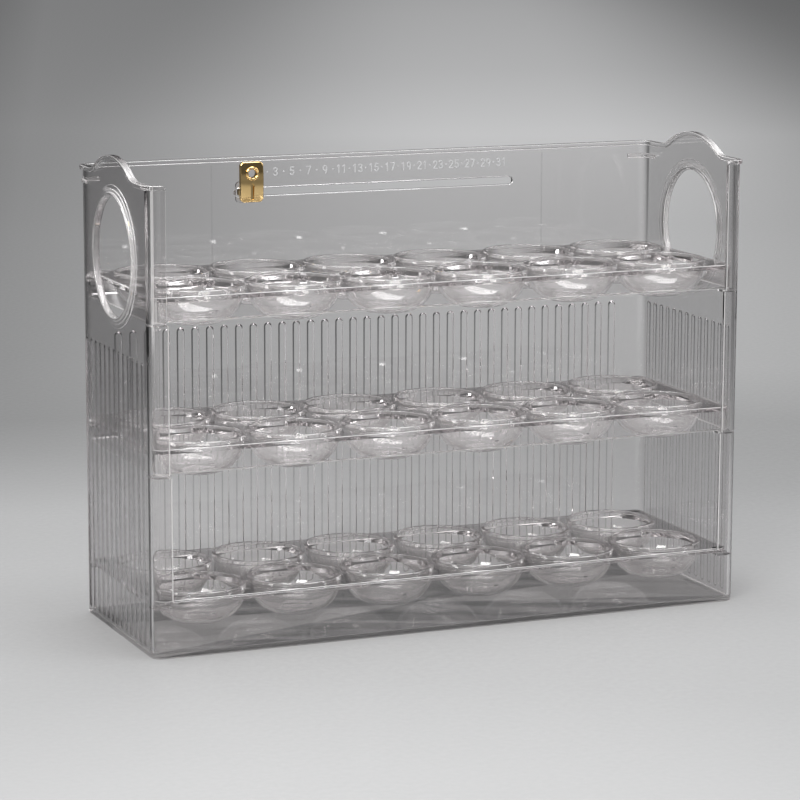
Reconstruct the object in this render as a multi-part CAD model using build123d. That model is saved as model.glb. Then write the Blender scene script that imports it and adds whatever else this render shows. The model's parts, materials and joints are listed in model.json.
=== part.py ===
from build123d import *
import math
import os

# Clear three-tier egg rack: an open-front, open-top case with three cup trays,
# two of them hinged at the rear, and a date tag that slides along a slot.
# Millimetres. X to the right, Y to the back, Z up. The case is drawn with its
# outer walls centred on X = Y = 0 and its base at Z = 0, then moved by Y_SHIFT
# so that the whole object's box is centred over the origin.

# ---------------------------------------------------------------- case
CASE_W = 325.0            # outer width over the side walls
CASE_D = 110.0            # outer depth over the front and back walls
RIM_Z = 235.0             # top of the rim
WALL = 2.2                # wall thickness
FLOOR_T = 2.2             # floor thickness
CORNER_R = 6.0            # outer vertical corner
BASE_R = 1.1              # rounding round the base
SOFT = 0.5                # rounding of the open edges
APRON_Z = 28.7            # top of the low front wall
IN_X = CASE_W / 2 - WALL  # inner faces
IN_Y = CASE_D / 2 - WALL

# front posts: width from the outer side face, in three steps going down
POST_TOP = 8.8
POST_MID = 9.8
POST_LOW = 10.8
POST_ROUND = 2.5          # rounded inner top corner of each post

# rim bead round the outside
BEAD_OUT = 1.6            # proud of the side and back walls
BEAD_FRONT = 0.6          # proud of the posts
BEAD_H = 2.4

# raised grip over each side wall
HUMP_HALF = 36.0
HUMP_PEAK = 244.6
HUMP_R = 54.0
HUMP_FOOT_R = 18.0

# round hand holes in the side walls
HAND_Z = 194.0
HAND_R = 30.5
HAND_RING_R = 36.0

# flutes, shallow round-ended grooves in the outer faces
FLUTE_W = 4.3
FLUTE_DEPTH = 0.70        # flat-bottomed, with sides sloped at 45 degrees
FLUTE_Z0 = 4.0
FLUTE_Z1 = 147.0
BACK_FLUTES = 36
BACK_PITCH = 8.1
SIDE_FLUTES = 13
SIDE_PITCH = 7.4
SIDE_FLUTE_Y0 = -42.2

# slot for the tag, in the back wall
SLOT_Z = 216.45
SLOT_H = 4.0
SLOT_CHAMFER = 0.35
SLOT_X0 = -79.3
SLOT_X1 = 80.3

# hairline witness lines of the mould, on the outside of the back wall
WITNESS_X = (-91.6, 98.2)
WITNESS_Z = (149.0, 231.0)

# ---------------------------------------------------------------- trays
TRAY_X = 159.3            # half width
TRAY_FRONT = -51.8
TRAY_BACK = 51.0
TRAY_R_FRONT = 6.0
TRAY_R_BACK = 4.0
PLATE_T = 2.5
SKIRT_H = 12.8            # plate top to skirt bottom
SKIRT_T = 1.8
TOP_Z = 180.0             # plate tops
MID_Z = 104.7
BOT_Z = APRON_Z
CUP_PITCH = 51.5
CUP_Y = 25.9
CUP_R = 22.2              # inner radius at the ring
RING_R = 24.4             # outer radius of the raised ring
RING_H = 2.0
BOWL_DEPTH = 16.0
BOWL_FLAT_R = 7.5
CUP_WALL = 1.6
LEDGE_GAP = 0.05          # skirt bottom above its ledge
LEDGE_T = 1.2

# ---------------------------------------------------------------- hinges
PIN_R = 2.0
SOCKET_R = 2.06
PIN_Y = 46.5
PIN_DROP = 3.0            # axis below the plate top
PIN_TIP_X = 161.25
SOCKET_X = 161.35
BOSS_X = 153.3            # inner end of the boss

# ---------------------------------------------------------------- tag
TAG_X = -70.4             # centre at rest, at the start of the scale
TAG_W = 12.8
TAG_Z0 = 211.4
TAG_Z1 = 232.6
TAG_T = 2.8
TAG_DOME_R = 75.0         # the front face is slightly domed
TAG_BACK = IN_Y - 0.40    # back face, clear of the raised numerals
TAG_EYE_Z = 226.5
TAG_EYE_R = 2.2
STEM_HALF = 6.4
STEM_H = 3.85
CLIP_T = 1.4

# ---------------------------------------------------------------- scale
SCALE_Z = 226.8
SCALE_H = 4.0
SCALE_X0 = -65.8          # centre of the first number
SCALE_STEP = 9.28
SCALE_PROUD = 0.22
STROKE = 0.48

Y_SHIFT = -(BEAD_OUT - BEAD_FRONT) / 2


def under_rim(drop=0.0, top=0.0):
    """Everything below the rim line, which rises over both side walls."""
    cz = HUMP_PEAK - HUMP_R
    fz = RIM_Z + HUMP_FOOT_R
    a = math.atan2(HUMP_HALF, fz - cz)
    ty, tz = HUMP_R * math.sin(a), cz + HUMP_R * math.cos(a)
    b = a / 2
    my, mz = HUMP_HALF - HUMP_FOOT_R * math.sin(b), fz - HUMP_FOOT_R * math.cos(b)
    line = (
        Polyline((-70, -5), (-70, RIM_Z), (-HUMP_HALF, RIM_Z))
        + ThreePointArc((-HUMP_HALF, RIM_Z), (-my, mz), (-ty, tz))
        + ThreePointArc((-ty, tz), (0, HUMP_PEAK), (ty, tz))
        + ThreePointArc((ty, tz), (my, mz), (HUMP_HALF, RIM_Z))
        + Polyline((HUMP_HALF, RIM_Z), (70, RIM_Z), (70, -5), (-70, -5))
    )
    face = make_face(Plane.YZ * line)
    return Pos(0, 0, -drop) * extrude(face, amount=175, both=True)


def rounded_block(w, d, z0, z1, r, cy=0.0):
    return Pos(0, cy, z0) * extrude(RectangleRounded(w, d, r), amount=z1 - z0)


def flutes():
    """The cutters for all flutes: round-ended, flat-bottomed and with sloped sides."""
    out_by = 0.05
    sk = SlotOverall(FLUTE_Z1 - FLUTE_Z0 + 2 * out_by, FLUTE_W + 2 * out_by, rotation=90)
    bar = Pos(0, out_by, (FLUTE_Z0 + FLUTE_Z1) / 2) * extrude(Plane.XZ * sk, amount=FLUTE_DEPTH + out_by, taper=45)
    out = []
    for k in range(BACK_FLUTES):
        x = (k - (BACK_FLUTES - 1) / 2) * BACK_PITCH
        out.append(Pos(x, CASE_D / 2, 0) * bar)
    for k in range(SIDE_FLUTES):
        y = SIDE_FLUTE_Y0 + k * SIDE_PITCH
        for s in (-1, 1):
            out.append(Pos(s * CASE_W / 2, y, 0) * Rot(0, 0, -90 * s) * bar)
    return out


def post_cut():
    """Cutter for the open front, from the apron up, between the stepped posts."""
    h = CASE_W / 2
    z1 = MID_Z - SKIRT_H - LEDGE_GAP - LEDGE_T / 2
    z2 = TOP_Z - SKIRT_H - LEDGE_GAP - LEDGE_T / 2
    a, b, c = h - POST_LOW, h - POST_MID, h - POST_TOP
    q = POST_ROUND * (1 - math.sqrt(0.5))
    rz = RIM_Z - POST_ROUND
    outline = (
        Polyline((-a, APRON_Z), (a, APRON_Z), (a, z1), (b, z1), (b, z2), (c, z2), (c, rz))
        + ThreePointArc((c, rz), (c + q, RIM_Z - q), (c + POST_ROUND, RIM_Z))
        + Polyline((c + POST_ROUND, RIM_Z), (c + POST_ROUND, 260), (-c - POST_ROUND, 260), (-c - POST_ROUND, RIM_Z))
        + ThreePointArc((-c - POST_ROUND, RIM_Z), (-c - q, RIM_Z - q), (-c, rz))
        + Polyline((-c, rz), (-c, z2), (-b, z2), (-b, z1), (-a, z1), (-a, APRON_Z))
    )
    face = make_face(Plane.XZ * outline)
    # runs forward from the inner face of the posts
    return Pos(0, -IN_Y, 0) * extrude(face, amount=10)


def hand_ring(s):
    """Stepped ring round a hand hole, on the outside of side wall s (-1 left, 1 right)."""
    r, q = HAND_R, 1 - math.sqrt(0.5)
    prof = (
        Line((r, -1.0), (r, 0.8))
        + ThreePointArc((r, 0.8), (r + 0.8 * q, 1.6 - 0.8 * q), (r + 0.8, 1.6))
        + Line((r + 0.8, 1.6), (r + 1.2, 1.6))
        + ThreePointArc((r + 1.2, 1.6), (r + 1.9 - 0.7 * q, 1.6 - 0.7 * q), (r + 1.9, 0.9))
        + Line((r + 1.9, 0.9), (r + 2.9, 0.9))
        + ThreePointArc((r + 2.9, 0.9), (r + 3.4 - 0.5 * q, 0.9 - 0.5 * q), (r + 3.4, 0.4))
        + Line((r + 3.4, 0.4), (HAND_RING_R - 0.4, 0.4))
        + ThreePointArc((HAND_RING_R - 0.4, 0.4), (HAND_RING_R - 0.4 * q, 0.4 - 0.4 * q), (HAND_RING_R, 0.0))
        + Polyline((HAND_RING_R, 0.0), (HAND_RING_R, -1.0), (r, -1.0))
    )
    ring = revolve(make_face(Plane.XZ * prof), Axis.Z, 360)
    return Pos(s * CASE_W / 2, 0, HAND_Z) * Rot(0, 90 * s, 0) * ring


def ledge(sx, sy, w, top, t=LEDGE_T):
    """Small shelf across an inside corner: sx, sy give the corner, w its reach from the outer side face."""
    x_in = CASE_W / 2 - w
    dx = IN_X + 0.8 - x_in
    dy = 7.2
    s = RectangleRounded(dx, dy, 1.6)
    cx = sx * (x_in + dx / 2)
    cy = sy * (IN_Y + 0.8 - dy / 2)
    return Pos(cx, cy, top - t) * extrude(s, amount=t)


def on_outline(e, w, d, r, cy=0.0):
    """True if an edge's middle lies on the upright sides of a rounded block of that plan."""
    p = e.position_at(0.5)
    x, y = abs(p.X) - (w / 2 - r), abs(p.Y - cy) - (d / 2 - r)
    far = math.hypot(x, y) if x > 0 and y > 0 else max(x, y)
    return abs(far - r) < 0.02 and abs(e.tangent_at(0.5).Z) < 0.95


def open_edges(body, y, upright):
    """The long edges round the open front that lie at that Y: the posts' upright ones or the apron's top one."""
    out = []
    for e in body.edges():
        p, t = e.position_at(0.5), e.tangent_at(0.5)
        if abs(p.Y - y) > 0.01:
            continue
        post = abs(t.Z) > 0.99 and abs(abs(p.X) - (CASE_W / 2 - POST_MID)) < 1.1 and e.length > 20
        apron = abs(t.X) > 0.99 and abs(p.Z - APRON_Z) < 0.01 and e.length > 200
        if (post and upright) or (apron and not upright):
            out.append(e)
    return out


def slot_cutter():
    """The tag's slot, with its edges eased on both faces."""
    length = SLOT_X1 - SLOT_X0
    at = Pos((SLOT_X0 + SLOT_X1) / 2, 0, SLOT_Z)
    through = at * Pos(0, IN_Y + 8, 0) * extrude(Plane.XZ * SlotOverall(length, SLOT_H), amount=16)
    c = SLOT_CHAMFER + 0.05
    flare = extrude(Plane.XZ * SlotOverall(length + 2 * c, SLOT_H + 2 * c), amount=c, taper=45)
    back = at * Pos(0, CASE_D / 2 + 0.05, 0) * flare
    front = at * Pos(0, IN_Y - 0.05, 0) * Rot(0, 0, 180) * flare
    return [through, back, front]


def make_case():
    outer = rounded_block(CASE_W, CASE_D, 0, 260, CORNER_R)
    outer = fillet(outer.faces().sort_by(Axis.Z)[0].edges(), BASE_R)
    bead_w, bead_d, bead_r = CASE_W + 2 * BEAD_OUT, CASE_D + BEAD_OUT + BEAD_FRONT, CORNER_R + 1.4
    bead = rounded_block(bead_w, bead_d, 200, 260, bead_r, cy=-Y_SHIFT)
    band = bead & (under_rim() - under_rim(BEAD_H))
    band = fillet([e for e in band.edges() if on_outline(e, bead_w, bead_d, bead_r, -Y_SHIFT)], 0.55)
    body = (outer & under_rim()) + band
    cavity = rounded_block(2 * IN_X, 2 * IN_Y, FLOOR_T, 270, CORNER_R - WALL)
    cavity = fillet(cavity.faces().sort_by(Axis.Z)[0].edges(), 0.9)
    body = body - cavity
    inner = [e for e in body.edges() if e.position_at(0.5).Z > RIM_Z - 0.1 and on_outline(e, 2 * IN_X, 2 * IN_Y, CORNER_R - WALL)]
    body = fillet(inner, SOFT)
    body = body - post_cut()
    body = fillet(open_edges(body, -CASE_D / 2, upright=False), SOFT)
    body = fillet(open_edges(body, -IN_Y, upright=False), SOFT)
    body = fillet(open_edges(body, -CASE_D / 2, upright=True), SOFT)
    # on the inside the narrow top step stays as it is, next to the rim's own rounding
    back = [e for e in open_edges(body, -IN_Y, upright=True) if abs(e.position_at(0.5).X) < CASE_W / 2 - POST_TOP - 0.1]
    body = fillet(back, SOFT)
    # ledges: front corners for the hinged trays, all four corners for the bottom tray
    adds = []
    for sx in (-1, 1):
        adds.append(ledge(sx, -1, POST_MID, TOP_Z - SKIRT_H - LEDGE_GAP))
        adds.append(ledge(sx, -1, POST_LOW, MID_Z - SKIRT_H - LEDGE_GAP))
        for sy in (-1, 1):
            adds.append(ledge(sx, sy, POST_LOW, BOT_Z - PLATE_T))
        adds.append(hand_ring(sx))
    # short round ribs on the outside of the back corners
    rib = rounded_block(CASE_W + 1.6, CASE_D + 1.6, 225.7, 228.1, CORNER_R + 0.8)
    rib = fillet([e for e in rib.edges() if on_outline(e, CASE_W + 1.6, CASE_D + 1.6, CORNER_R + 0.8)], 1.0)
    core = rounded_block(CASE_W - 1.0, CASE_D - 1.0, 220, 235, CORNER_R - 0.5)
    for sx in (-1, 1):
        keep = Pos(sx * (CASE_W / 2 - 4), CASE_D / 2 - 4, 226.9) * Box(16, 16, 4)
        adds.append((rib & keep) - core)
    body = body + adds
    cuts = []
    for sx in (-1, 1):
        cuts.append(Pos(sx * CASE_W / 2, 0, HAND_Z) * Rot(0, 90, 0) * Cylinder(HAND_R, 20))
        # eased edge of the hand hole on the inside of the wall
        cone = Pos(0, 0, -0.35) * Cone(HAND_R, HAND_R + 0.7, 0.7)
        cuts.append(Pos(sx * (IN_X + 0.1), 0, HAND_Z) * Rot(0, -90 * sx, 0) * cone)
        for z in (TOP_Z - PIN_DROP, MID_Z - PIN_DROP):
            cuts.append(Pos(sx * (SOCKET_X + IN_X - 2) / 2, PIN_Y, z) * Rot(0, 90, 0) * Cylinder(SOCKET_R, SOCKET_X - IN_X + 2))
    for x in WITNESS_X:
        cuts.append(Pos(x, CASE_D / 2, (WITNESS_Z[0] + WITNESS_Z[1]) / 2) * Box(0.5, 0.3, WITNESS_Z[1] - WITNESS_Z[0]))
    body = body - (cuts + slot_cutter())
    body = body - flutes()
    return body


def tray_outline(inset=0.0):
    x, f, b = TRAY_X - inset, TRAY_FRONT + inset, TRAY_BACK - inset
    s = Pos(0, (f + b) / 2) * Rectangle(2 * x, b - f)
    v = s.vertices().sort_by(Axis.Y)
    s = fillet(v[:2], TRAY_R_FRONT - inset)
    v = s.vertices().sort_by(Axis.Y)
    top = [p for p in v if abs(p.Y - b) < 1e-6]
    return fillet(top, TRAY_R_BACK - inset)


def cup_profile():
    """Half section of a cup, from its axis out, Z from the plate's top."""
    d, fr, w = BOWL_DEPTH, BOWL_FLAT_R, CUP_WALL
    ri = CUP_R - 0.2                      # bowl radius where its side stands upright
    arc = ri - fr                         # quarter circle from the flat to the side
    zc = -d + arc
    k = math.sqrt(0.5)
    inner = (
        Line((0, -d), (fr, -d))
        + ThreePointArc((fr, -d), (fr + arc * k, zc - arc * k), (ri, zc))
        + Polyline((ri, zc), (CUP_R, RING_H - 0.6))
        + ThreePointArc((CUP_R, RING_H - 0.6), (CUP_R + 0.18, RING_H - 0.18), (CUP_R + 0.6, RING_H))
        + Line((CUP_R + 0.6, RING_H), (RING_R - 0.6, RING_H))
        + ThreePointArc((RING_R - 0.6, RING_H), (RING_R - 0.18, RING_H - 0.18), (RING_R, RING_H - 0.6))
        + Polyline((RING_R, RING_H - 0.6), (RING_R, -0.8), (ri + w, -0.8), (ri + w, zc))
        + ThreePointArc((ri + w, zc), (fr + (arc + w) * k, zc - (arc + w) * k), (fr, -d - w))
        + Polyline((fr, -d - w), (0, -d - w), (0, -d))
    )
    return make_face(Plane.XZ * inner)


def cup_rib():
    """Small upright rib on the front of a bowl, widening into a gusset under the plate."""
    side = [(4.6, -PLATE_T + 0.4), (4.2, -PLATE_T - 0.2), (1.0, -5.8), (1.0, -9.6)]
    outline = side + [(-x, z) for x, z in reversed(side)]
    face = Plane.XZ * Polygon(*outline, align=None)
    return Pos(0, -(CUP_R - 0.4), 0) * extrude(face, amount=2.4)


def make_tray(z, skirt):
    plate = Pos(0, 0, z - PLATE_T) * extrude(tray_outline(), amount=PLATE_T)
    plate = fillet(plate.faces().sort_by(Axis.Z)[-1].edges(), 0.6)
    if not skirt:
        plate = fillet(plate.faces().sort_by(Axis.Z)[0].edges(), 0.6)
    holes = []
    cups = []
    cup = revolve(cup_profile(), Axis.Z, 360)
    void = Pos(0, 0, -4) * Cylinder(CUP_R - 0.2 + CUP_WALL / 2, 20)
    bowl_void = revolve(
        make_face(
            Plane.XZ
            * (
                Polyline((0, 5), (0, -BOWL_DEPTH), (BOWL_FLAT_R, -BOWL_DEPTH))
                + ThreePointArc(
                    (BOWL_FLAT_R, -BOWL_DEPTH),
                    (BOWL_FLAT_R + (CUP_R - 0.2 - BOWL_FLAT_R) * math.sqrt(0.5), -BOWL_DEPTH + (CUP_R - 0.2 - BOWL_FLAT_R) * (1 - math.sqrt(0.5))),
                    (CUP_R - 0.2, -BOWL_DEPTH + CUP_R - 0.2 - BOWL_FLAT_R),
                )
                + Polyline((CUP_R - 0.2, -BOWL_DEPTH + CUP_R - 0.2 - BOWL_FLAT_R), (CUP_R - 0.2, 5), (0, 5))
            )
        ),
        Axis.Z,
        360,
    )
    rib = cup_rib() - bowl_void
    for i in range(6):
        for j in (-1, 1):
            x = (i - 2.5) * CUP_PITCH
            holes.append(Pos(x, j * CUP_Y, z) * void)
            cups.append(Pos(x, j * CUP_Y, z) * cup)
            cups.append(Pos(x, j * CUP_Y, z) * rib)
    if skirt:
        ring = extrude(tray_outline(), amount=SKIRT_H - 1.0) - extrude(tray_outline(SKIRT_T), amount=SKIRT_H)
        ring = fillet(ring.faces().sort_by(Axis.Z)[0].edges(), 0.45)
        ring = Pos(0, 0, z - SKIRT_H) * ring
        # the skirt's lower corners are rounded as seen from the side
        side = Pos((TRAY_FRONT + TRAY_BACK) / 2, z) * Rectangle(TRAY_BACK - TRAY_FRONT, 2 * SKIRT_H)
        low = [p for p in side.vertices() if p.Y < z]
        low_f = [p for p in low if p.X < 0]
        side = fillet(low_f, 1.5)
        low_b = [p for p in side.vertices() if p.Y < z - SKIRT_H + 0.01 and p.X > 40]
        side = fillet(low_b, 3.5)
        ring = ring & extrude(Plane.YZ * side, amount=170, both=True)
        plate = plate + ring
        bosses = []
        for sx in (-1, 1):
            b = Pos(sx * (BOSS_X + TRAY_X - 0.5) / 2, PIN_Y, z - PIN_DROP - 0.6) * Box(TRAY_X - 0.5 - BOSS_X, 7.4, 6.8)
            bosses.append(b)
        plate = plate + bosses
    body = (plate - holes) + cups
    if skirt:
        bores = []
        for sx in (-1, 1):
            bores.append(Pos(sx * (BOSS_X - 3 + TRAY_X + 3) / 2, PIN_Y, z - PIN_DROP) * Rot(0, 90, 0) * Cylinder(PIN_R, TRAY_X - BOSS_X + 6))
        body = body - bores
    return body


def make_pins(z):
    """Two plain pins, pushed outward through the bosses into the side walls."""
    out = []
    for sx in (-1, 1):
        prof = Polyline(
            (0, BOSS_X), (PIN_R - 0.3, BOSS_X), (PIN_R, BOSS_X + 0.3),
            (PIN_R, PIN_TIP_X - 0.4), (PIN_R - 0.4, PIN_TIP_X), (0, PIN_TIP_X), (0, BOSS_X),
        )
        pin = revolve(make_face(Plane.XZ * prof), Axis.Z, 360)
        out.append(Pos(0, PIN_Y, z - PIN_DROP) * Rot(0, 90 * sx, 0) * pin)
    return out


def make_tag():
    zc = (TAG_Z0 + TAG_Z1) / 2
    h = TAG_Z1 - TAG_Z0
    y0 = TAG_BACK - TAG_T
    sk = Plane.XZ * RectangleRounded(TAG_W, h, 2.3)
    plate = Pos(TAG_X, TAG_BACK, zc) * extrude(sk, amount=TAG_T)
    plate = plate & (Pos(TAG_X, y0 + TAG_DOME_R, zc) * Sphere(TAG_DOME_R))
    front = plate.faces().sort_by(Axis.Y)[0]
    plate = fillet(front.edges(), 0.7)
    # round bead about the eye
    ring = Pos(TAG_X, y0 + 0.15, TAG_EYE_Z) * Rot(-90, 0, 0) * Torus(TAG_EYE_R + 0.8, 0.7)
    tag = plate + ring
    tag = tag - Pos(TAG_X, TAG_BACK - 2, TAG_EYE_Z) * Rot(90, 0, 0) * Cylinder(TAG_EYE_R, 12)
    # engraved groove below the eye, ending in a small pointer
    groove = Pos(TAG_X, y0, 216.4) * Rot(0, 0, 180) * extrude(Plane.XZ * RectangleRounded(2.0, 7.8, 0.5), amount=1.1, taper=20)
    point = Plane.XZ * Polygon((-1.4, 0), (1.4, 0), (0, 1.7), align=None)
    point = Pos(TAG_X, y0 - 1, 219.8) * extrude(point, amount=-1.8)
    tag = tag - groove - point
    # shallow pads that run on the wall above and below the slot, and the stem through it
    for z in (SLOT_Z - 3.9, SLOT_Z + 3.7):
        tag = tag + Pos(TAG_X, TAG_BACK + 0.1, z) * Box(9.0, 0.5, 1.4)
    end = CASE_D / 2 + 0.1 + CLIP_T
    stem = Pos(TAG_X, (TAG_BACK - 0.5 + end) / 2, SLOT_Z) * Box(2 * STEM_HALF, end - TAG_BACK + 0.5, STEM_H)
    stem = fillet(stem.edges().filter_by(Axis.Y), 1.2)
    return tag + stem


def make_clip():
    y0 = CASE_D / 2 + 0.1
    sk = Plane.XZ * RectangleRounded(15.0, 11.0, 2.0)
    clip = Pos(TAG_X, y0 + CLIP_T, SLOT_Z) * extrude(sk, amount=CLIP_T)
    stem = Pos(TAG_X, y0, SLOT_Z) * Box(2 * STEM_HALF, 10, STEM_H)
    stem = fillet(stem.edges().filter_by(Axis.Y), 1.2)
    return clip - stem


# Digits drawn as strokes in a box 0..0.56 wide and 0..1 tall.
DIGITS = {
    "1": [[(0.10, 0.80), (0.32, 1.0), (0.32, 0.0)]],
    "2": [[(0.04, 0.78), (0.10, 0.93), (0.28, 1.0), (0.46, 0.93), (0.53, 0.76), (0.47, 0.58), (0.04, 0.0), (0.55, 0.0)]],
    "3": [[(0.04, 0.86), (0.14, 0.97), (0.28, 1.0), (0.45, 0.93), (0.51, 0.76), (0.44, 0.59), (0.22, 0.53)],
          [(0.22, 0.53), (0.46, 0.45), (0.54, 0.27), (0.47, 0.08), (0.28, 0.0), (0.12, 0.03), (0.02, 0.15)]],
    "5": [[(0.50, 1.0), (0.12, 1.0), (0.07, 0.54), (0.26, 0.62), (0.46, 0.53), (0.54, 0.32), (0.46, 0.09), (0.26, 0.0), (0.10, 0.04), (0.02, 0.15)]],
    "7": [[(0.02, 1.0), (0.54, 1.0), (0.20, 0.0)]],
    "9": [[(0.53, 0.68), (0.46, 0.45), (0.28, 0.37), (0.10, 0.46), (0.03, 0.68), (0.10, 0.91), (0.28, 1.0), (0.46, 0.91), (0.53, 0.68), (0.50, 0.35), (0.38, 0.0)]],
}
GLYPH_W = 0.56
GLYPH_GAP = 0.24


def stroke(points, x0, z0):
    """One stroke as a flat band with round joints, in the X-Z plane."""
    out = None
    r = STROKE / 2
    pts = [(x0 + px * SCALE_H, z0 + pz * SCALE_H) for px, pz in points]
    for (ax, az), (bx, bz) in zip(pts, pts[1:]):
        ln = math.hypot(bx - ax, bz - az)
        bar = Pos((ax + bx) / 2, (az + bz) / 2) * Rot(0, 0, math.degrees(math.atan2(bz - az, bx - ax))) * Rectangle(ln, STROKE)
        out = bar if out is None else out + bar
    for ax, az in pts:
        out = out + Pos(ax, az) * Circle(r)
    return out


def make_scale():
    solids = []
    h = SCALE_H
    numbers = [str(n) for n in range(1, 32, 2)]
    for i, text in enumerate(numbers):
        xc = SCALE_X0 + i * SCALE_STEP
        width = len(text) * GLYPH_W * h + (len(text) - 1) * GLYPH_GAP * h
        x = xc - width / 2
        for ch in text:
            sk = None
            for st in DIGITS[ch]:
                s = stroke(st, x, SCALE_Z - h / 2)
                sk = s if sk is None else sk + s
            solids += list(extrude(Plane.XZ * sk, amount=SCALE_PROUD).solids())
            x += (GLYPH_W + GLYPH_GAP) * h
        if i < len(numbers) - 1:
            dot = Pos(xc + SCALE_STEP / 2, SCALE_Z) * Circle(0.42)
            solids += list(extrude(Plane.XZ * dot, amount=SCALE_PROUD).solids())
    return [Pos(0, IN_Y, 0) * s for s in solids]


def write(name, thing):
    solids = thing if isinstance(thing, list) else list(thing.solids())
    moved = [Pos(0, Y_SHIFT, 0) * s for s in solids]
    shape = moved[0] if len(moved) == 1 else Compound(children=moved)
    export_step(shape, f"parts/{name}.step")
    print(name, len(moved), "solid(s)", round(sum(s.volume for s in moved), 1), "mm3", all(s.is_valid for s in moved))


os.makedirs("parts", exist_ok=True)
write("case_body", make_case())
write("bottom_tray", make_tray(BOT_Z, False))
write("middle_tray", make_tray(MID_Z, True))
write("top_tray", make_tray(TOP_Z, True))
write("middle_tray_hinge_pins", make_pins(MID_Z))
write("top_tray_hinge_pins", make_pins(TOP_Z))
write("slider_tag", make_tag())
write("slider_clip", make_clip())
write("date_scale", make_scale())
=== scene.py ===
import json
import math

import bmesh
import bpy
from mathutils import Matrix, Vector

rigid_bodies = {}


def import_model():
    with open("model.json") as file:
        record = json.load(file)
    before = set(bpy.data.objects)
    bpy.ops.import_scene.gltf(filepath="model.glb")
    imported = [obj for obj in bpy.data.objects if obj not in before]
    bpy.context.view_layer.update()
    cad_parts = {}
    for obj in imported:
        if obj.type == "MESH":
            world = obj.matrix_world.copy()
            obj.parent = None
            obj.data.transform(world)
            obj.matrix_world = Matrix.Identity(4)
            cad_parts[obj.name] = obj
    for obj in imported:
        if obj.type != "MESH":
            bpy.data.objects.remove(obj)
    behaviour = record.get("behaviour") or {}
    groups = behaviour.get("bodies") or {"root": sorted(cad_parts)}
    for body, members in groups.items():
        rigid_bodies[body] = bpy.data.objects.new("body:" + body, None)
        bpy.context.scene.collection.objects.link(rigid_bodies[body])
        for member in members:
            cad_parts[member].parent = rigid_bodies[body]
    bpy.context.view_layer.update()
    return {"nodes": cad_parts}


for o in list(bpy.data.objects):
    bpy.data.objects.remove(o)

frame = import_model()
nodes = frame["nodes"]
scene = bpy.context.scene

# ------------------------------------------------------------------ camera
# looks along +Y, turned 22.96 degrees to the right and 10.37 degrees down
CAM = Vector((-0.6511, -1.5195, 0.4128))
YAW, PITCH, ROLL = math.radians(22.955), math.radians(-10.374), math.radians(0.151)
FOCAL = 3220.8          # pixels over a frame of 800 pixels

fwd = Vector((math.sin(YAW) * math.cos(PITCH), math.cos(YAW) * math.cos(PITCH), math.sin(PITCH)))
flat_right = Vector((math.cos(YAW), -math.sin(YAW), 0))
flat_up = flat_right.cross(fwd)
right = flat_right * math.cos(ROLL) + flat_up * math.sin(ROLL)
up = flat_up * math.cos(ROLL) - flat_right * math.sin(ROLL)

cam_data = bpy.data.cameras.new("camera")
cam_data.sensor_fit = "HORIZONTAL"
cam_data.sensor_width = 36
cam_data.lens = 36 * FOCAL / 800
cam_data.clip_start = 0.01
cam_data.clip_end = 200
camera = bpy.data.objects.new("camera", cam_data)
scene.collection.objects.link(camera)
camera.matrix_world = Matrix((
    (right.x, up.x, -fwd.x, CAM.x),
    (right.y, up.y, -fwd.y, CAM.y),
    (right.z, up.z, -fwd.z, CAM.z),
    (0, 0, 0, 1)))
scene.camera = camera


# ------------------------------------------------------------------ small helpers
def new_material(name):
    m = bpy.data.materials.new(name)
    m.use_nodes = True
    m.node_tree.nodes.clear()
    return m, m.node_tree


def add(tree, kind, **values):
    n = tree.nodes.new(kind)
    for k, v in values.items():
        setattr(n, k, v)
    return n


def join(tree, a, b):
    tree.links.new(a, b)


def noise(tree, coords, scale, detail=2.0, roughness=0.5, stretch=(1, 1, 1)):
    mapping = add(tree, "ShaderNodeMapping")
    mapping.inputs["Scale"].default_value = stretch
    join(tree, coords, mapping.inputs["Vector"])
    n = add(tree, "ShaderNodeTexNoise")
    n.inputs["Scale"].default_value = scale
    n.inputs["Detail"].default_value = detail
    n.inputs["Roughness"].default_value = roughness
    join(tree, mapping.outputs["Vector"], n.inputs["Vector"])
    return n.outputs["Fac"]


def remap(tree, value, a, b, c, d):
    r = add(tree, "ShaderNodeMapRange")
    r.inputs["From Min"].default_value = a
    r.inputs["From Max"].default_value = b
    r.inputs["To Min"].default_value = c
    r.inputs["To Max"].default_value = d
    join(tree, value, r.inputs["Value"])
    return r.outputs["Result"]


def dot(tree, vector, axis):
    n = add(tree, "ShaderNodeVectorMath", operation="DOT_PRODUCT")
    join(tree, vector, n.inputs[0])
    n.inputs[1].default_value = axis
    return n.outputs["Value"]


def times(tree, a, b):
    n = add(tree, "ShaderNodeMath", operation="MULTIPLY")
    join(tree, a, n.inputs[0])
    join(tree, b, n.inputs[1])
    return n.outputs[0]


def blend_values(tree, factor, fixed, value):
    """fixed where the factor is 0, value where it is 1."""
    n = add(tree, "ShaderNodeMix", data_type="FLOAT")
    join(tree, factor, n.inputs["Factor"])
    n.inputs["A"].default_value = fixed
    join(tree, value, n.inputs["B"])
    return n.outputs["Result"]


# ------------------------------------------------------------------ materials
def over(tree, value, limit):
    """1 where the value is above the limit."""
    n = add(tree, "ShaderNodeMath", operation="GREATER_THAN")
    join(tree, value, n.inputs[0])
    n.inputs[1].default_value = limit
    return n.outputs[0]


def larger(tree, a, b):
    n = add(tree, "ShaderNodeMath", operation="MAXIMUM")
    join(tree, a, n.inputs[0])
    join(tree, b, n.inputs[1])
    return n.outputs[0]


def magnitude(tree, vector):
    size = add(tree, "ShaderNodeVectorMath", operation="ABSOLUTE")
    join(tree, vector, size.inputs[0])
    parts = add(tree, "ShaderNodeSeparateXYZ")
    join(tree, size.outputs[0], parts.inputs[0])
    return parts.outputs["X"], parts.outputs["Y"], parts.outputs["Z"]


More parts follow.
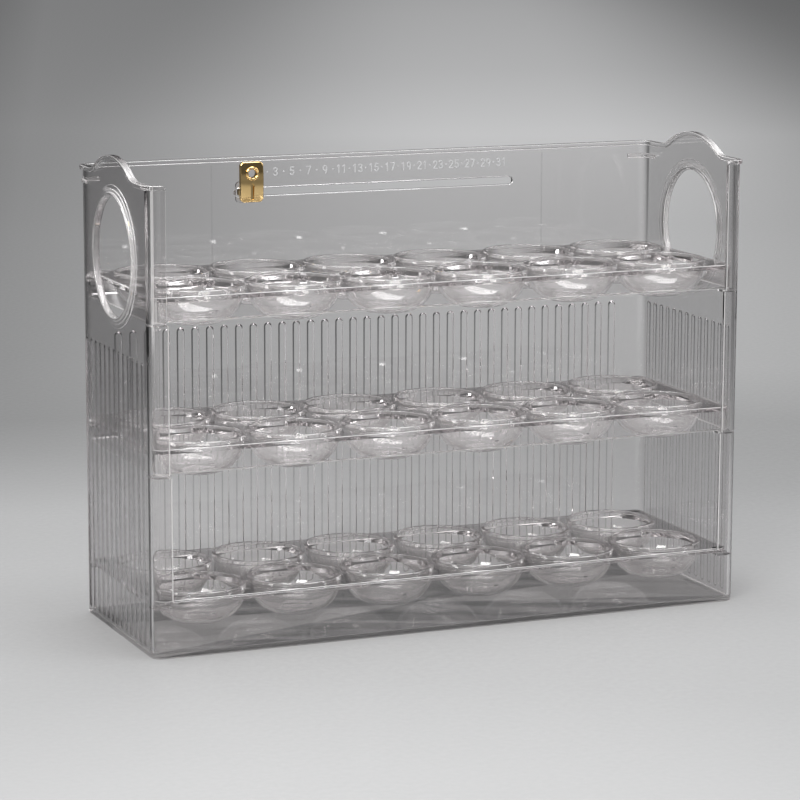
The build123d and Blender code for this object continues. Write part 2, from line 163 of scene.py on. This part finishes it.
def own_normal(tree):
    """Size of the three parts of the face normal in the piece's own frame, so that it turns with the piece."""
    geo = add(tree, "ShaderNodeNewGeometry")
    turn = add(tree, "ShaderNodeVectorTransform", vector_type="NORMAL", convert_from="WORLD", convert_to="OBJECT")
    join(tree, geo.outputs["True Normal"], turn.inputs[0])
    unit = add(tree, "ShaderNodeVectorMath", operation="NORMALIZE")
    join(tree, turn.outputs[0], unit.inputs[0])
    return magnitude(tree, unit.outputs[0])


def painted_light_masks(tree, coords):
    """Masks, each as 0..1, that place painted light: small rounded edges (painted highlight), the sloped sides of
    the flutes (painted shade), and painted highlight lines down the front posts, along the inner edges of the
    posts and on the short ribs of the rear corners.

    Flat walls face one of the three main directions and rounded edges don't."""
    nx, ny, nz = own_normal(tree)
    turned = remap(tree, larger(tree, larger(tree, nx, ny), nz), 0.99, 0.90, 0.0, 1.0)
    px, py, pz = magnitude(tree, coords)
    # the walls of the hand holes and of the steps round them, which take a painted highlight
    flat = add(tree, "ShaderNodeVectorMath", operation="MULTIPLY")
    join(tree, coords, flat.inputs[0])
    flat.inputs[1].default_value = (0, 1, 1)
    away = add(tree, "ShaderNodeVectorMath", operation="DISTANCE")
    join(tree, flat.outputs[0], away.inputs[0])
    away.inputs[1].default_value = (0, -0.0005, 0.194)
    round_hole = times(tree, over(tree, away.outputs["Value"], 0.0298), remap(tree, over(tree, away.outputs["Value"], 0.0368), 0, 1, 1, 0))
    round_hole = times(tree, times(tree, round_hole, over(tree, px, 0.1597)), remap(tree, over(tree, nx, 0.6), 0, 1, 1, 0))
    turned = larger(tree, turned, round_hole)
    low = remap(tree, over(tree, pz, 0.148), 0, 1, 1, 0)
    outside = larger(tree, over(tree, px, 0.16125), times(tree, over(tree, py, 0.0532), over(tree, dot(tree, coords, (0, 1, 0)), 0)))
    upright = remap(tree, over(tree, nz, 0.25), 0, 1, 1, 0)
    corner = times(tree, times(tree, over(tree, px, 0.1555), over(tree, py, 0.0485)), upright)
    plain = times(tree, turned, remap(tree, corner, 0, 1, 1, 0))
    flute_side_shade = times(tree, times(tree, low, outside), times(tree, plain, over(tree, pz, 0.0035)))
    small_edge_highlight = times(tree, plain, remap(tree, flute_side_shade, 0, 1, 1, 0))
    # painted highlight line down the front corner of each post
    gap = add(tree, "ShaderNodeMath", operation="SUBTRACT")
    join(tree, px, gap.inputs[0])
    join(tree, py, gap.inputs[1])
    off = add(tree, "ShaderNodeMath", operation="SUBTRACT")
    join(tree, gap.outputs[0], off.inputs[0])
    off.inputs[1].default_value = 0.1070
    size = add(tree, "ShaderNodeMath", operation="ABSOLUTE")
    join(tree, off.outputs[0], size.inputs[0])
    forward = dot(tree, coords, (0, -1, 0))
    front = times(tree, over(tree, forward, 0.0503), over(tree, px, 0.1573))
    painted_glow_lines = times(tree, times(tree, remap(tree, size.outputs[0], 0.0002, 0.0009, 0.8, 0), front), upright)
    painted_glow_lines = times(tree, painted_glow_lines, remap(tree, pz, 0.150, 0.166, 0.0, 1.0))
    # painted highlight along the inner edge of each post
    painted_inner_glow = times(tree, over(tree, px, 0.1508), remap(tree, over(tree, px, 0.1545), 0, 1, 1, 0))
    painted_inner_glow = times(tree, times(tree, painted_inner_glow, over(tree, forward, 0.0526)), times(tree, turned, upright))
    # painted highlight on the short ribs on the rear corners
    mid = add(tree, "ShaderNodeMath", operation="SUBTRACT")
    join(tree, pz, mid.inputs[0])
    mid.inputs[1].default_value = 0.2269
    high = add(tree, "ShaderNodeMath", operation="ABSOLUTE")
    join(tree, mid.outputs[0], high.inputs[0])
    painted_rib_glow = remap(tree, high.outputs[0], 0.0009, 0.0013, 0.7, 0)
    proud = larger(tree, over(tree, px, 0.1627), over(tree, dot(tree, coords, (0, 1, 0)), 0.0547))
    painted_rib_glow = times(tree, painted_rib_glow, proud)
    return small_edge_highlight, flute_side_shade, larger(tree, larger(tree, painted_glow_lines, painted_inner_glow), painted_rib_glow)


def clear_plastic(name, tint_rgb, steep_shade_rgb, painted_edge_glow, painted_outer_glow, lip_highlights, flow_scale, flow_depth, rough_low, rough_high):
    """Clear injection-moulded plastic: a faint flow waviness, faint handling haze, a slight warm cast along long
    paths, painted highlights on edges and lines, and painted shade on flute sides and steeply met walls.
    """
    m, t = new_material(name)
    coords = add(t, "ShaderNodeTexCoord").outputs["Object"]
    p = add(t, "ShaderNodeBsdfPrincipled")
    # rounded edges, beads and rings have normals between the main directions: there go painted highlights, a
    # near-white colour and a share of diffuse white in place of clear transmission
    edge_highlight, flute_side_shade, painted_glow_lines = painted_light_masks(t, coords)
    # an upright wall that is met at a steep angle is darkened towards the steep colour: painted shade
    slant = add(t, "ShaderNodeLayerWeight")
    slant.inputs["Blend"].default_value = 0.5
    level = own_normal(t)[2]
    steep_wall_shade = times(t, slant.outputs["Facing"], remap(t, over(t, level, 0.5), 0, 1, 1, 0))
    base = add(t, "ShaderNodeMix", data_type="RGBA")
    base.inputs["A"].default_value = (*tint_rgb, 1)
    base.inputs["B"].default_value = (*steep_shade_rgb, 1)
    join(t, steep_wall_shade, base.inputs["Factor"])
    edge_highlight_colour = add(t, "ShaderNodeMix", data_type="RGBA")
    join(t, base.outputs["Result"], edge_highlight_colour.inputs["A"])
    edge_highlight_colour.inputs["B"].default_value = (0.985, 0.975, 0.972, 1)
    join(t, edge_highlight, edge_highlight_colour.inputs["Factor"])
    # painted shade: the sloped sides of the flutes are darkened to a dark grey
    flute_shade_colour = add(t, "ShaderNodeMix", data_type="RGBA")
    join(t, flute_side_shade, flute_shade_colour.inputs["Factor"])
    join(t, edge_highlight_colour.outputs["Result"], flute_shade_colour.inputs["A"])
    flute_shade_colour.inputs["B"].default_value = (0.50, 0.495, 0.50, 1)
    join(t, flute_shade_colour.outputs["Result"], p.inputs["Base Color"])
    px, py, pz = magnitude(t, coords)
    outer = larger(t, over(t, px, 0.1552), over(t, py, 0.0503))
    painted_glow = times(t, edge_highlight, remap(t, outer, 0, 1, painted_edge_glow, painted_outer_glow))
    painted_glow = larger(t, painted_glow, remap(t, painted_glow_lines, 0, 1, 0, 0.5))
    # lip highlights: heights of free horizontal edges that get a painted highlight line, each with half its width
    # and its brightness
    for height, half, strength in lip_highlights:
        away = add(t, "ShaderNodeMath", operation="SUBTRACT")
        join(t, pz, away.inputs[0])
        away.inputs[1].default_value = height
        size = add(t, "ShaderNodeMath", operation="ABSOLUTE")
        join(t, away.outputs[0], size.inputs[0])
        painted_glow = larger(t, painted_glow, times(t, remap(t, size.outputs[0], half * 0.5, half, strength, 0), outer))
    # painted highlight: where the glow mask is, clear transmission gives way to diffuse white
    join(t, remap(t, painted_glow, 0, 1, 1.0, 0.0), p.inputs["Transmission Weight"])
    p.inputs["IOR"].default_value = 1.53
    haze = noise(t, coords, 46, 4, 0.62)
    join(t, remap(t, haze, 0.35, 0.75, rough_low, rough_high), p.inputs["Roughness"])
    flow = noise(t, coords, flow_scale, 1.5, 0.45, (1, 1, 0.7))
    bump = add(t, "ShaderNodeBump")
    bump.inputs["Strength"].default_value = 1.0
    bump.inputs["Distance"].default_value = flow_depth
    join(t, flow, bump.inputs["Height"])
    join(t, bump.outputs["Normal"], p.inputs["Normal"])
    # lamps shine through, and less so where a wall is met edge on
    through = add(t, "ShaderNodeBsdfTransparent")
    facing = add(t, "ShaderNodeLayerWeight")
    facing.inputs["Blend"].default_value = 0.32
    tint = add(t, "ShaderNodeMix", data_type="RGBA")
    tint.inputs["A"].default_value = (0.955, 0.952, 0.95, 1)
    tint.inputs["B"].default_value = (0.50, 0.49, 0.49, 1)
    join(t, facing.outputs["Facing"], tint.inputs["Factor"])
    join(t, tint.outputs["Result"], through.inputs["Color"])
    path = add(t, "ShaderNodeLightPath")
    either = add(t, "ShaderNodeMath", operation="MAXIMUM")
    join(t, path.outputs["Is Shadow Ray"], either.inputs[0])
    join(t, path.outputs["Is Diffuse Ray"], either.inputs[1])
    mix = add(t, "ShaderNodeMixShader")
    join(t, either.outputs[0], mix.inputs[0])
    join(t, p.outputs[0], mix.inputs[1])
    join(t, through.outputs[0], mix.inputs[2])
    out = add(t, "ShaderNodeOutputMaterial")
    join(t, mix.outputs[0], out.inputs["Surface"])
    body = add(t, "ShaderNodeVolumeAbsorption")
    body.inputs["Color"].default_value = (0.78, 0.60, 0.66, 1)
    body.inputs["Density"].default_value = 4.0
    join(t, body.outputs[0], out.inputs["Volume"])
    return m


def polished_gold(name):
    m, t = new_material(name)
    coords = add(t, "ShaderNodeTexCoord").outputs["Object"]
    p = add(t, "ShaderNodeBsdfPrincipled")
    p.inputs["Metallic"].default_value = 1.0
    tone = noise(t, coords, 90, 2, 0.5)
    ramp = add(t, "ShaderNodeMix", data_type="RGBA")
    ramp.inputs["A"].default_value = (0.93, 0.63, 0.25, 1)
    ramp.inputs["B"].default_value = (1.0, 0.75, 0.38, 1)
    join(t, tone, ramp.inputs["Factor"])
    join(t, ramp.outputs["Result"], p.inputs["Base Color"])
    wear = noise(t, coords, 620, 5, 0.7, (1, 1, 0.35))
    join(t, remap(t, wear, 0.3, 0.75, 0.05, 0.13), p.inputs["Roughness"])
    bump = add(t, "ShaderNodeBump")
    bump.inputs["Strength"].default_value = 0.6
    bump.inputs["Distance"].default_value = 0.00001
    join(t, noise(t, coords, 160, 2, 0.5), bump.inputs["Height"])
    join(t, bump.outputs["Normal"], p.inputs["Normal"])
    out = add(t, "ShaderNodeOutputMaterial")
    join(t, p.outputs[0], out.inputs["Surface"])
    return m


def frosted(name):
    m, t = new_material(name)
    coords = add(t, "ShaderNodeTexCoord").outputs["Object"]
    p = add(t, "ShaderNodeBsdfPrincipled")
    tone = noise(t, coords, 1500, 3, 0.6)
    ramp = add(t, "ShaderNodeMix", data_type="RGBA")
    ramp.inputs["A"].default_value = (0.46, 0.47, 0.48, 1)
    ramp.inputs["B"].default_value = (0.61, 0.615, 0.62, 1)
    join(t, tone, ramp.inputs["Factor"])
    join(t, ramp.outputs["Result"], p.inputs["Base Color"])
    join(t, remap(t, tone, 0.3, 0.7, 0.45, 0.7), p.inputs["Roughness"])
    out = add(t, "ShaderNodeOutputMaterial")
    join(t, p.outputs[0], out.inputs["Surface"])
    return m


case_mat = clear_plastic("case_clear", (0.938, 0.930, 0.930), (0.50, 0.492, 0.494), 0.24, 0.24, (), 18, 0.000004, 0.0, 0.01)
tray_mat = clear_plastic("tray_clear", (0.955, 0.945, 0.945), (0.90, 0.89, 0.89), 0.03, 0.30, ((0.1674, 0.0008, 0.42), (0.0921, 0.0008, 0.42)), 26, 0.000006, 0.0, 0.012)
small_mat = clear_plastic("clip_clear", (0.95, 0.945, 0.945), (0.93, 0.925, 0.925), 0.05, 0.05, (), 60, 0.00002, 0.0, 0.02)
gold_mat = polished_gold("tag_gold")
mark_mat = frosted("numeral_frost")

FINISH = {
    "case_body": case_mat,
    "bottom_tray": tray_mat, "middle_tray": tray_mat, "top_tray": tray_mat,
    "middle_tray_hinge_pins": small_mat, "top_tray_hinge_pins": small_mat, "slider_clip": small_mat,
    "slider_tag": gold_mat,
    "date_scale": mark_mat,
}
for name, mat in FINISH.items():
    for slot in nodes[name].material_slots:
        slot.material = mat


# ------------------------------------------------------------------ floor
def make_floor():
    bm = bmesh.new()
    rings = (0.0, 0.35, 0.8, 1.6, 3.2, 6.4, 12.8, 26, 60)
    n = 64
    centre = bm.verts.new((0, 0, 0))
    last = None
    for r in rings[1:]:
        ring = [bm.verts.new((r * math.cos(2 * math.pi * k / n), r * math.sin(2 * math.pi * k / n), 0)) for k in range(n)]
        for k in range(n):
            if last is None:
                bm.faces.new((centre, ring[k], ring[(k + 1) % n]))
            else:
                bm.faces.new((last[k], ring[k], ring[(k + 1) % n], last[(k + 1) % n]))
        last = ring
    mesh = bpy.data.meshes.new("floor")
    bm.to_mesh(mesh)
    bm.free()
    floor = bpy.data.objects.new("floor", mesh)
    scene.collection.objects.link(floor)
    m, t = new_material("floor_paper")
    coords = add(t, "ShaderNodeTexCoord").outputs["Object"]
    # a pale sweep that turns to a mid grey behind, by the distance from a point in front of the object: partly
    # the backdrop's own grey, partly a painted fall-off of the studio light
    dist = add(t, "ShaderNodeVectorMath", operation="DISTANCE")
    dist.inputs[1].default_value = (-0.235, -0.55, 0)
    join(t, coords, dist.inputs[0])
    ramp = add(t, "ShaderNodeValToRGB")
    join(t, remap(t, dist.outputs["Value"], 0.0, 6.0, 0, 1), ramp.inputs["Fac"])
    e = ramp.color_ramp.elements
    e[0].position, e[0].color = 0.0, (0.35, 0.35, 0.349, 1)
    e[1].position, e[1].color = 1.0, (0.30, 0.301, 0.303, 1)
    for metres, grey in ((0.30, 0.335), (0.45, 0.305), (0.70, 0.315), (0.85, 0.295), (0.95, 0.250), (1.04, 0.200), (1.15, 0.158), (1.4, 0.160), (2.1, 0.243), (3.2, 0.33)):
        mid = ramp.color_ramp.elements.new(metres / 6)
        mid.color = (grey, grey * 1.003, grey * 1.008, 1)
    # behind the object a painted pool of light along one broad band, with painted shade to both sides of it
    along = dot(t, coords, (0.39, 0.921, 0))
    across = dot(t, coords, (0.921, -0.39, 0))
    behind = remap(t, along, 0.25, 0.65, 0, 1)
    painted_side_shade = times(t, remap(t, dot(t, coords, (0.960, -0.298, 0)), -0.52, -0.24, 0.28, 1.0), remap(t, across, 0.25, 1.0, 1.0, 0.5))
    painted_side_shade = blend_values(t, behind, 1.0, painted_side_shade)
    off = add(t, "ShaderNodeMath", operation="SUBTRACT")
    join(t, across, off.inputs[0])
    off.inputs[1].default_value = 0.15
    away = add(t, "ShaderNodeMath", operation="ABSOLUTE")
    join(t, off.outputs[0], away.inputs[0])
    bell = add(t, "ShaderNodeMapRange", interpolation_type="SMOOTHERSTEP")
    join(t, away.outputs[0], bell.inputs["Value"])
    for socket, v in (("From Min", 0.0), ("From Max", 0.72), ("To Min", 1.0), ("To Max", 0.0)):
        bell.inputs[socket].default_value = v
    depth = add(t, "ShaderNodeValToRGB")
    join(t, remap(t, along, 0.0, 8.0, 0, 1), depth.inputs["Fac"])
    de = depth.color_ramp.elements
    de[0].position, de[0].color = 0.04, (0, 0, 0, 1)
    de[1].position, de[1].color = 1.0, (0.12, 0.12, 0.12, 1)
    for metres, grey in ((0.75, 0.17), (1.6, 0.26), (2.5, 0.46), (3.6, 0.36), (5.2, 0.30)):
        mid = depth.color_ramp.elements.new(metres / 8)
        mid.color = (grey, grey, grey, 1)
    painted_light_pool = times(t, bell.outputs["Result"], depth.outputs["Color"])
    tone = add(t, "ShaderNodeVectorMath", operation="SCALE")
    join(t, ramp.outputs["Color"], tone.inputs[0])
    join(t, painted_side_shade, tone.inputs["Scale"])
    total = add(t, "ShaderNodeVectorMath", operation="ADD")
    join(t, tone.outputs[0], total.inputs[0])
    join(t, painted_light_pool, total.inputs[1])
    p = add(t, "ShaderNodeBsdfPrincipled")
    join(t, total.outputs[0], p.inputs["Base Color"])
    join(t, remap(t, noise(t, coords, 260, 3, 0.6), 0.3, 0.7, 0.42, 0.55), p.inputs["Roughness"])
    p.inputs["Specular IOR Level"].default_value = 0.35
    out = add(t, "ShaderNodeOutputMaterial")
    join(t, p.outputs[0], out.inputs["Surface"])
    mesh.materials.append(m)
    return floor


make_floor()


# ------------------------------------------------------------------ light
def area(name, at, to, size, size_y, power, colour=(1, 1, 1)):
    d = bpy.data.lights.new(name, "AREA")
    d.shape = "RECTANGLE"
    d.size, d.size_y = size, size_y
    d.energy = power
    d.color = colour
    o = bpy.data.objects.new(name, d)
    o.visible_camera = False
    o.location = at
    o.rotation_euler = (Vector(to) - Vector(at)).to_track_quat("-Z", "Y").to_euler()
    scene.collection.objects.link(o)
    return o


area("key", (-1.05, -0.95, 1.25), (0, 0, 0.08), 0.85, 0.85, 30, (1.0, 0.99, 0.975))
area("overhead", (0.1, 0.05, 1.5), (0, 0, 0), 1.5, 0.7, 18, (0.98, 0.99, 1.0))
area("fill_right", (1.45, -0.9, 0.9), (0, 0, 0.15), 0.35, 1.1, 8)

world = bpy.data.worlds.new("studio")
scene.world = world
world.use_nodes = True
wt = world.node_tree
wt.nodes.clear()
direction = add(wt, "ShaderNodeTexCoord").outputs["Generated"]
sep = add(wt, "ShaderNodeSeparateXYZ")
join(wt, direction, sep.inputs[0])
height = add(wt, "ShaderNodeValToRGB")
join(wt, remap(wt, sep.outputs["Z"], -0.1, 1.0, 0, 1), height.inputs["Fac"])
he = height.color_ramp.elements
he[0].position, he[0].color = 0.0, (0.07, 0.071, 0.073, 1)
he[1].position, he[1].color = 1.0, (1.15, 1.155, 1.16, 1)
for place, grey in ((0.35, 0.10), (0.60, 0.28), (0.75, 0.90)):
    e = height.color_ramp.elements.new(place)
    e.color = (grey, grey, grey * 1.01, 1)
bg = add(wt, "ShaderNodeBackground")
join(wt, height.outputs["Color"], bg.inputs["Color"])
bg.inputs["Strength"].default_value = 1.0
wo = add(wt, "ShaderNodeOutputWorld")
join(wt, bg.outputs[0], wo.inputs["Surface"])

# ------------------------------------------------------------------ render settings that belong to the look
scene.view_settings.view_transform = "Standard"
scene.view_settings.look = "None"
c = scene.cycles
c.max_bounces = 40
c.transmission_bounces = 40
c.glossy_bounces = 16
c.diffuse_bounces = 3
c.transparent_max_bounces = 64
c.caustics_reflective = False
c.caustics_refractive = False
c.sample_clamp_indirect = 6
c.use_denoising = True
